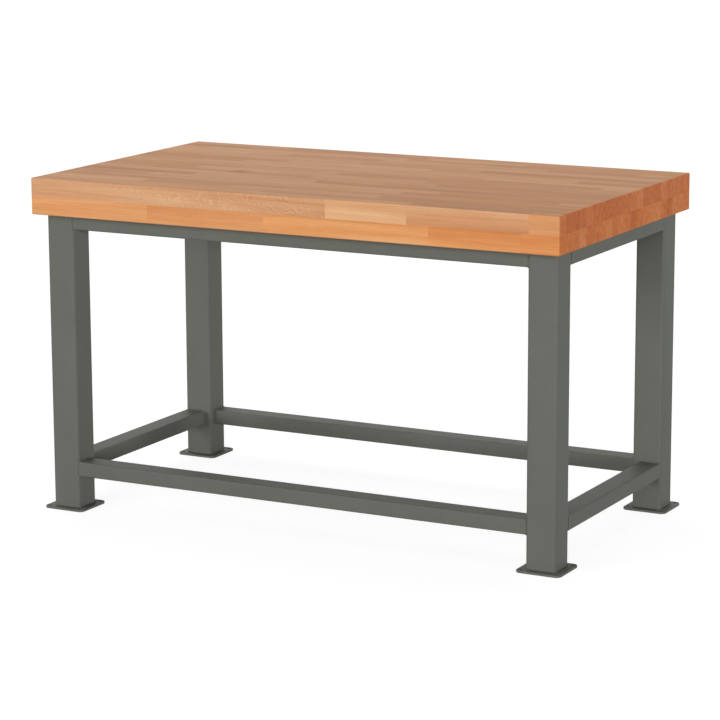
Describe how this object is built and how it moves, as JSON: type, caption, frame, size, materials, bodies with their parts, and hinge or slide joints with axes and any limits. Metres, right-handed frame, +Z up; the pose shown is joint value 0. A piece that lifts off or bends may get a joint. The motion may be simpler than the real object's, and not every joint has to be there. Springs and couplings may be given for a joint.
{
  "type": "heavy-duty workbench",
  "caption": "Static workshop bench: a thick glued hardwood top of many staves on a welded square-tube steel frame with upper and lower rails and drilled foot plates.",
  "frame": {"origin": "on the floor, under the middle of the worktop", "axes": "+X along the bench's length to the right as seen from the front, -Y towards the front, +Z up"},
  "size_m": [1.5, 0.84, 0.89],
  "materials": {
    "upper_beech": "oiled, satin",
    "lower_beech": "oiled, satin",
    "powder_coat": "grey-green powder coat, satin",
    "zinc_plate": "bright zinc plate"
  },
  "bodies": {
    "root": {"upper_staves_a": "upper_beech", "upper_staves_b": "upper_beech", "upper_staves_c": "upper_beech", "upper_staves_d": "upper_beech", "lower_staves_a": "lower_beech", "lower_staves_b": "lower_beech", "lower_staves_c": "lower_beech", "lower_staves_d": "lower_beech", "leg_front_left": "powder_coat", "leg_front_right": "powder_coat", "leg_rear_left": "powder_coat", "leg_rear_right": "powder_coat", "foot_plate_front_left": "powder_coat", "foot_plate_front_right": "powder_coat", "foot_plate_rear_left": "powder_coat", "foot_plate_rear_right": "powder_coat", "upper_rail_front": "powder_coat", "upper_rail_rear": "powder_coat", "upper_rail_left": "powder_coat", "upper_rail_right": "powder_coat", "lower_rail_front": "powder_coat", "lower_rail_rear": "powder_coat", "lower_rail_left": "powder_coat", "lower_rail_right": "powder_coat", "cleats_front": "powder_coat", "cleats_rear": "powder_coat", "cleats_left": "powder_coat", "cleats_right": "powder_coat", "coach_screws": "zinc_plate", "screw_washers": "zinc_plate"}
  },
  "joints": []
}
